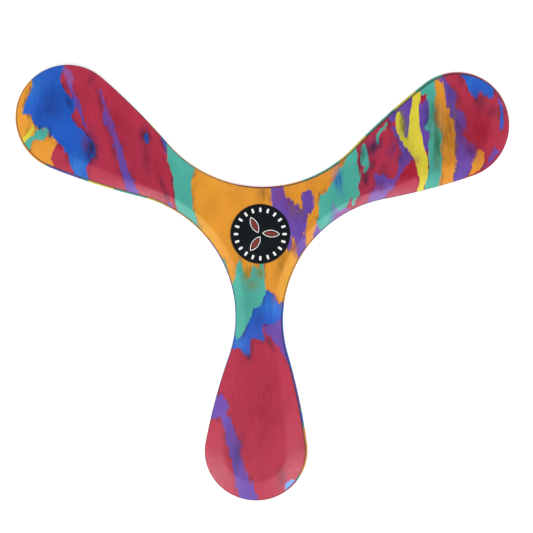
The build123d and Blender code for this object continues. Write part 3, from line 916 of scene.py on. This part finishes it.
def printed_film(name, ground, patches, smudges):
    """PVC film, gravure printed, embossed with a fine linen and laid on in one sheet.

    The inks have soft frayed edges that run with the sheet's length, dark fringes where they
    bled and cloudy strength.  The emboss breaks the light into a satin sheen.
    """
    ink = ink_settings()
    material, tree, place = new_material(name)
    keys = ["ink_" + layer for layer in patches] + ["smudge_" + layer for layer in smudges]
    stored = {
        key: add_node(tree, "ShaderNodeAttribute", output="Fac", attribute_name=key)
        for key in ("bevel", "edge_and_shade", *keys)
    }

    # an edge wanders, frays, and here and there drips along the sheet
    fray, fine, drip = ink.fray, 0.4 * ink.fray, 1.4 * ink.fray
    waver = grain(tree, place, (1.9, 6, 6), -fray, fray)
    threads = grain(tree, place, (0.8, 1.8, 1.8), -fine, fine)
    wander = add_node(tree, MATH, {0: waver, 1: threads}, operation="ADD")
    drips = grain(tree, place, (0.9, 12, 12), -drip, drip)
    dripping = grain(tree, place, (10, 14, 14), 0.0, 1.0, 0.48, 0.62)
    wander = add_node(tree, MATH, {0: drips, 1: dripping, 2: wander}, operation="MULTIPLY_ADD")

    # how strongly each smudge covers, streaked along the sheet
    streaked = grain(tree, place, (1.3, 7, 7), 0.5, 1.6, detail=3.0)
    amounts = {
        layer: add_node(tree, MATH, {0: stored["smudge_" + layer], 1: streaked},
                        operation="MULTIPLY", use_clamp=True)
        for layer in smudges
    }

    # coats of colour, each (how much it covers, its colour), from the ground up
    bleeding = grain(tree, place, (2.6, 7, 7), 0.0, 1.0, 0.42, 0.64, detail=3.0)
    coats = []
    for layer, (softness, cover, frayed, bleed) in INK_LAYERS.items():
        if layer not in patches:
            continue
        edge = {0: wander, 1: frayed, 2: stored["ink_" + layer]}
        depth = add_node(tree, MATH, edge, operation="MULTIPLY_ADD")
        if bleed:
            reach = {0: depth, 1: -BLEED_REACH * MM, 2: 0.0, 3: 0.0, 4: bleed}
            fringe = add_node(tree, RANGE, reach, interpolation_type="SMOOTHSTEP")
            fringe = add_node(tree, MATH, {0: fringe, 1: bleeding}, operation="MULTIPLY")
            coats.append((fringe, with_alpha(ink.smoke)))
        paint = with_alpha(getattr(ink, layer))
        tone = INK_TONES.get(layer)
        if tone in smudges:
            tones = {0: amounts[tone], 6: paint, 7: with_alpha(getattr(ink, tone))}
            paint = add_node(tree, MIX, tones, output=2, data_type="RGBA")
        reach = {0: depth, 1: -softness * MM / 2, 2: softness * MM / 2, 3: 0.0, 4: cover}
        coats.append((add_node(tree, RANGE, reach, interpolation_type="SMOOTHSTEP"), paint))
    for layer in smudges:
        if layer not in INK_TONES.values():
            coats.append((amounts[layer], with_alpha(getattr(ink, layer))))
    colour = with_alpha(getattr(ink, ground))
    for amount, paint in coats:
        colour = add_node(tree, MIX, {0: amount, 6: colour, 7: paint}, output=2, data_type="RGBA")

    # the linen's threads, and the cloudy and streaky strength of the inks; the bevel is painted a
    # little lighter, partly for the ink thinned where the film is stretched over it and partly as a
    # painted sheen of the light on the slope
    weave = [
        add_node(tree, "ShaderNodeTexWave", {"Vector": place, "Scale": 0.1 * pi / ink.linen_pitch},
                 output="Fac", bands_direction=direction)
        for direction in ("X", "Y")
    ]
    linen = add_node(tree, MATH, {0: weave[0], 1: weave[1]}, operation="ADD")
    strength = add_node(tree, RANGE, {0: linen, 1: 0.0, 2: 2.0, 3: 0.97, 4: 1.02})
    # painted sheen: the bevel reads lighter than the flat, partly from the stretched film
    bevel_lift_and_sheen = {0: stored["bevel"], 1: 1.0, 2: 0.86, 3: 1.0, 4: 1.09}
    for factor in (
        grain(tree, place, (1.4, 24, 24), 0.97, 1.02),
        grain(tree, place, (11, 17, 17), 0.9, 1.06),
        add_node(tree, RANGE, bevel_lift_and_sheen, interpolation_type="SMOOTHSTEP"),
    ):
        strength = add_node(tree, MATH, {0: strength, 1: factor}, operation="MULTIPLY")
    colour = add_node(tree, "ShaderNodeHueSaturation", {"Value": strength, "Color": colour})

    # the cut edge at the seam is dark, with painted shade in the seam's groove, and the outermost line
    # of the nose gets painted shade where its side wall falls in shade
    edge_shading = {0: stored["edge_and_shade"], 6: colour, 7: with_alpha(ink.cut_edge_and_shade)}
    colour = add_node(tree, MIX, edge_shading, output=2, data_type="RGBA")

    bump = add_node(tree, BUMP, {"Height": linen, "Strength": 0.25, "Distance": 0.012 * MM})
    waves = add_node(tree, BUMP, {
        "Height": grain(tree, place, (9, 9, 9)), "Strength": 0.4, "Distance": 0.06 * MM, "Normal": bump,
    })
    end_material(tree, {
        "Base Color": colour,
        "Roughness": grain(tree, place, (2.2, 3.5, 3.5), 0.3, 0.38),
        "IOR": 1.45,
        "Specular IOR Level": 0.4,
        "Normal": waves,
    })
    return material


def moulded_core():
    """Glass-filled polypropylene, injection moulded: near-black, with a fine matt skin."""
    material, tree, place = new_material("polypropylene_moulded_charcoal")
    skin = {"Height": grain(tree, place, (0.35,) * 3), "Strength": 0.3, "Distance": 0.02 * MM}
    end_material(tree, {
        "Base Color": mottled(tree, place, 1.5, "#16171B", "#23252B"), "Roughness": 0.52, "IOR": 1.49,
        "Normal": add_node(tree, BUMP, skin),
    })
    return material


def badge_vinyl():
    """Black PVC sticker, calendered: an even satin skin with a slight ripple."""
    material, tree, place = new_material("pvc_calendered_black")
    ripple = {"Height": grain(tree, place, (2.5,) * 3), "Strength": 0.3, "Distance": 0.03 * MM}
    end_material(tree, {
        "Base Color": mottled(tree, place, 3, "#0B1013", "#11181D"),
        "Roughness": grain(tree, place, (0.8,) * 3, 0.28, 0.34), "IOR": 1.45,
        "Normal": add_node(tree, BUMP, ripple),
    })
    return material


def acrylic_adhesive():
    """Acrylic adhesive, cast: a milky line under the badge's rim."""
    material, tree, place = new_material("acrylic_adhesive_cast")
    milky = mottled(tree, place, 1.2, "#B9B19C", "#D6D0BF")
    end_material(tree, {"Base Color": milky, "Roughness": 0.3, "IOR": 1.47})
    return material


def screen_ink(name, hex_colour, thin_colour):
    """Screen-printed ink: matt, with pinholes and a little unevenness from the mesh."""
    material, tree, place = new_material(name)
    mesh_marks = {"Height": grain(tree, place, (0.25,) * 3), "Strength": 0.3, "Distance": 0.01 * MM}
    end_material(tree, {
        "Base Color": mottled(tree, place, 0.5, thin_colour, hex_colour, 0.25, 0.5), "Roughness": 0.55,
        "Normal": add_node(tree, BUMP, mesh_marks),
    })
    return material


def lit_floor(colour, glow):
    """Opal acrylic, cast, as on a light table: matt, and lit from below so shadows stay faint."""
    material, tree, place = new_material("acrylic_cast_opal")
    tint = {"Value": grain(tree, place, (60,) * 3, 0.985, 1.0), "Color": with_alpha(colour)}
    end_material(tree, {
        "Base Color": add_node(tree, "ShaderNodeHueSaturation", tint),
        "Roughness": 0.8, "Emission Color": (1, 1, 1, 1), "Emission Strength": glow,
    })
    return material


# ==== badge marks ===========================================================================
def banded_mesh(name, rings, looped):
    """Closed mesh through rings of equal length, each a list of (x, y, z) in millimetres.

    The first ring lies underneath.  If looped, the last ring joins the first, round a hole,
    and otherwise a face closes each end.
    """
    count = len(rings[0])
    faces = [face for r in range(len(rings) - 1) for face in band(count, r, r + 1)]
    if looped:
        faces += band(count, len(rings) - 1, 0)
    else:
        faces.append(tuple(reversed(range(count))))
        faces.append(tuple((len(rings) - 1) * count + i for i in range(count)))
    mesh = bpy.data.meshes.new(name)
    mesh.from_pydata([(x * MM, y * MM, z * MM) for ring in rings for x, y, z in ring], [], faces)
    return mesh


def rounded_bar(length, width, corner, inset, height, arc_points=4):
    """Ring of points of a bar with round corners, along X, moved in by inset."""
    radius = corner - inset
    ring = []
    for quarter, (side_x, side_y) in enumerate([(1, 1), (-1, 1), (-1, -1), (1, -1)]):
        for i in range(arc_points + 1):
            angle = (quarter + i / arc_points) * pi / 2
            ring.append((
                side_x * (length / 2 - corner) + radius * cos(angle),
                side_y * (width / 2 - corner) + radius * sin(angle),
                height,
            ))
    return ring


def leaf_ring(length, width, inset, height, arc_points=14):
    """Ring of points of a leaf from the origin along X, between two arcs, moved in by inset."""
    radius = (length ** 2 + width ** 2) / (4 * width)
    drop = radius - width / 2
    inner = radius - inset
    half = atan2(sqrt(inner ** 2 - drop ** 2), drop)
    ring = []
    for side in (1, -1):
        for i in range(arc_points):
            angle = half * (1 - 2 * i / arc_points)
            ring.append((
                length / 2 + side * inner * sin(angle),
                side * (inner * cos(angle) - drop),
                height,
            ))
    return ring


def set_round(name, mesh, node, sizes, material):
    """One printed mark, repeated round the hub."""
    obj = new_object(name, mesh)
    ring = obj.modifiers.new("round", "NODES")
    ring.node_group = ring_tree()
    set_inputs(ring, {**sizes, "Height": BADGE_TOP * MM, "Material": material})
    finished_piece(obj, node)


# ==== operators =============================================================================
class BOOMERANG_OT_core(bpy.types.Operator):
    """Give the moulded core its finish"""

    bl_idname = "boomerang.core"
    bl_label = "Core"

    def execute(self, context):
        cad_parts["core"].material_slots[0].material = moulded_core()
        return {"FINISHED"}


class BOOMERANG_OT_upper_film(bpy.types.Operator):
    """Make the printed film of the bevelled upper face"""

    bl_idname = "boomerang.upper_film"
    bl_label = "Upper film"

    def execute(self, context):
        settings = film_settings()
        spacing = settings.spacing / MM
        rings = []
        # the rings that turn down carry the dark cut edge and the painted shade of the seam's groove
        for i, edge_shade in enumerate(ROLL_EDGE_AND_SHADE):
            angle = i / len(ROLL_EDGE_AND_SHADE) * pi / 2
            inset = UPPER_LIP_INSET + (UPPER_ROLL_INSET - UPPER_LIP_INSET) * (1 - cos(angle))
            ring = outline(0, inset, UPPER_TWIST, spacing)
            rings.append((ring, 0, 1 - sin(angle), edge_shade))
        for i in range(BEVEL_RINGS + 1):
            share = i / BEVEL_RINGS
            ring = outline(share, UPPER_ROLL_INSET * (1 - share), UPPER_TWIST, spacing)
            rings.append((ring, share, 0, 0))
        ground = SEAM_TOP * MM + settings.roll_height
        sizes = {"Ground": ground, "Rise": FLAT_TOP * MM - ground, "Power": settings.bevel_power,
                 "Roll": settings.roll_height}
        plan = film_plan("upper_film", rings, UPPER_PRINT, UPPER_SMUDGES, spacing, True)
        material = printed_film("pvc_film_printed_upper", "crimson", UPPER_PRINT, UPPER_SMUDGES)
        make_film("upper_film", "top_film", plan, sizes, material)
        return {"FINISHED"}


class BOOMERANG_OT_lower_film(bpy.types.Operator):
    """Make the printed film of the flat underside and the nose of the edge"""

    bl_idname = "boomerang.lower_film"
    bl_label = "Lower film"

    def execute(self, context):
        spacing = film_settings().spacing / MM
        rings = []
        # each ring of the nose carries its share of painted shade, darkest on the outer line
        for height, inset, edge_shade in NOSE_PROFILE:
            turn = (height - NOSE_TWIST_END) / (NOSE_TWIST_START - NOSE_TWIST_END)
            ring = outline(0, inset, UPPER_TWIST * max(turn, 0.0) ** 2, spacing)
            rings.append((ring, 0, height / SEAM_UNDER, edge_shade))
        sizes = {"Ground": 0.0, "Rise": 0.0, "Power": 1.0, "Roll": -SEAM_UNDER * MM}
        plan = film_plan("lower_film", rings, LOWER_PRINT, LOWER_SMUDGES, spacing, False)
        material = printed_film("pvc_film_printed_lower", "teal", LOWER_PRINT, LOWER_SMUDGES)
        make_film("lower_film", "bottom_film", plan, sizes, material)
        return {"FINISHED"}


class BOOMERANG_OT_badge(bpy.types.Operator):
    """Give the hub badge its finish and its printed marks"""

    bl_idname = "boomerang.badge"
    bl_label = "Badge"

    def execute(self, context):
        badge = badge_settings()
        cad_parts["badge_disc"].material_slots[0].material = badge_vinyl()
        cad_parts["badge_adhesive"].material_slots[0].material = acrylic_adhesive()
        white = screen_ink("screen_ink_white", "#F2F2F0", "#C9CCCE")
        red = screen_ink("screen_ink_oxide_red", "#7A2418", "#4A1A14")
        top = INK_TOP - BADGE_TOP
        chamfer = top * CHAMFER_SHARE
        side = top - chamfer
        block = ((0, 0), (0, side), (chamfer, top))

        length, width = badge.mark_length / MM, badge.mark_width / MM
        bar = banded_mesh(
            "ring_mark",
            [rounded_bar(length, width, MARK_CORNER, inset, z) for inset, z in block], False,
        )
        around = {"Count": badge.ring_count, "Radius": badge.ring_radius, "Start": 0.0, "Lean": 0.0}
        set_round("ring_marks", bar, "badge_ring_marks", around, white)

        length, width = badge.leaf_length / MM, badge.leaf_width / MM
        line = (*block, (LEAF_LINE - chamfer, top), (LEAF_LINE, side), (LEAF_LINE, 0))
        outlines = banded_mesh(
            "leaf_line", [leaf_ring(length, width, inset, z) for inset, z in line], True,
        )
        towards = {
            "Count": BLADES, "Radius": LEAF_ROOT * MM, "Start": -pi / 2, "Lean": badge.leaf_lean,
        }
        set_round("emblem_lines", outlines, "badge_emblem_lines", towards, white)
        middle = banded_mesh(
            "leaf_middle",
            [leaf_ring(length, width, LEAF_MIDDLE_INSET + inset, z) for inset, z in block], False,
        )
        set_round("emblem_fill", middle, "badge_emblem_fill", towards, red)
        return {"FINISHED"}


class BOOMERANG_OT_stage(bpy.types.Operator):
    """Make the camera, the pale floor and the studio light"""

    bl_idname = "boomerang.stage"
    bl_label = "Stage"

    def execute(self, context):
        stage = stage_settings()
        scene = context.scene
        scene.view_settings.view_transform = "Standard"

        camera = bpy.data.cameras.new("camera")
        camera.lens = LENS
        camera.shift_x, camera.shift_y = SHIFT
        eye = bpy.data.objects.new("camera", camera)
        scene.collection.objects.link(eye)
        tilt = stage.camera_tilt
        eye.location = (0, stage.camera_distance * sin(tilt), stage.camera_distance * cos(tilt))
        eye.rotation_euler = (-tilt, 0, 0)
        scene.camera = eye

        far, level = FLOOR_HALF_SIDE, CAD_BOX[0].z - FLOOR_GAP
        corners = [(-far, -far, level), (far, -far, level), (far, far, level), (-far, far, level)]
        board = bpy.data.meshes.new("floor")
        board.from_pydata(corners, [], [(0, 1, 2, 3)])
        board.materials.append(lit_floor(stage.floor_colour, stage.floor_glow))
        new_object("floor", board)

        # a light tent: bright all round at mid height, with a dark opening overhead
        world = bpy.data.worlds.new("light_tent")
        world.use_nodes = True
        tree = world.node_tree
        direction = add_node(tree, "ShaderNodeTexCoord", output="Generated")
        height = add_node(tree, "ShaderNodeSeparateXYZ", {0: direction}, output="Z")
        strength = stage.world_strength
        for start, end, low, high in (
            (cos(TENT_FULL), cos(TENT_OPENING), 1.0, TENT_DARK), (0.0, TENT_LOW_HEIGHT, TENT_LOW, 1.0),
        ):
            fade = {0: height, 1: start, 2: end, 3: low, 4: high}
            brightness = add_node(tree, RANGE, fade, interpolation_type="SMOOTHSTEP")
            strength = add_node(tree, MATH, {0: strength, 1: brightness}, operation="MULTIPLY")
        tree.links.new(strength, tree.nodes["Background"].inputs["Strength"])
        tree.nodes["Background"].inputs["Color"].default_value = (1, 1, 1, 1)
        scene.world = world

        for name, place in SOFTBOXES.items():
            lamp = bpy.data.lights.new(name, "AREA")
            lamp.size = SOFTBOX_SIDE
            lamp.energy = stage.key_power
            box = bpy.data.objects.new(name, lamp)
            box.location = place
            box.rotation_euler = (-Vector(place)).to_track_quat("-Z", "Y").to_euler()
            box.visible_camera = False
            scene.collection.objects.link(box)
        return {"FINISHED"}


class BOOMERANG_PT_panel(bpy.types.Panel):
    """Lists the boomerang's settings and pieces"""

    bl_idname = "BOOMERANG_PT_panel"
    bl_label = "Boomerang"
    bl_space_type = "VIEW_3D"
    bl_region_type = "UI"
    bl_category = "Boomerang"

    def draw(self, context):
        for group in (film_settings(), ink_settings(), badge_settings(), stage_settings()):
            box = self.layout.box()
            for key in group.__annotations__:
                box.prop(group, key)
        for operator in OPERATORS:
            self.layout.operator(operator.bl_idname)


OPERATORS = (
    BOOMERANG_OT_stage,
    BOOMERANG_OT_core,
    BOOMERANG_OT_lower_film,
    BOOMERANG_OT_upper_film,
    BOOMERANG_OT_badge,
)
SETTINGS = {
    "boomerang_film": FilmSettings,
    "boomerang_ink": InkSettings,
    "boomerang_badge": BadgeSettings,
    "boomerang_stage": StageSettings,
}


def register():
    for cls in (*SETTINGS.values(), *OPERATORS, BOOMERANG_PT_panel):
        bpy.utils.register_class(cls)
    for name, cls in SETTINGS.items():
        setattr(bpy.types.Scene, name, PointerProperty(type=cls))


def unregister():
    for name in SETTINGS:
        delattr(bpy.types.Scene, name)
    for cls in (BOOMERANG_PT_panel, *reversed(OPERATORS), *SETTINGS.values()):
        bpy.utils.unregister_class(cls)


def main():
    register()
    bpy.ops.boomerang.stage()
    bpy.ops.boomerang.core()
    bpy.ops.boomerang.lower_film()
    bpy.ops.boomerang.upper_film()
    bpy.ops.boomerang.badge()


if __name__ == "__main__":
    main()
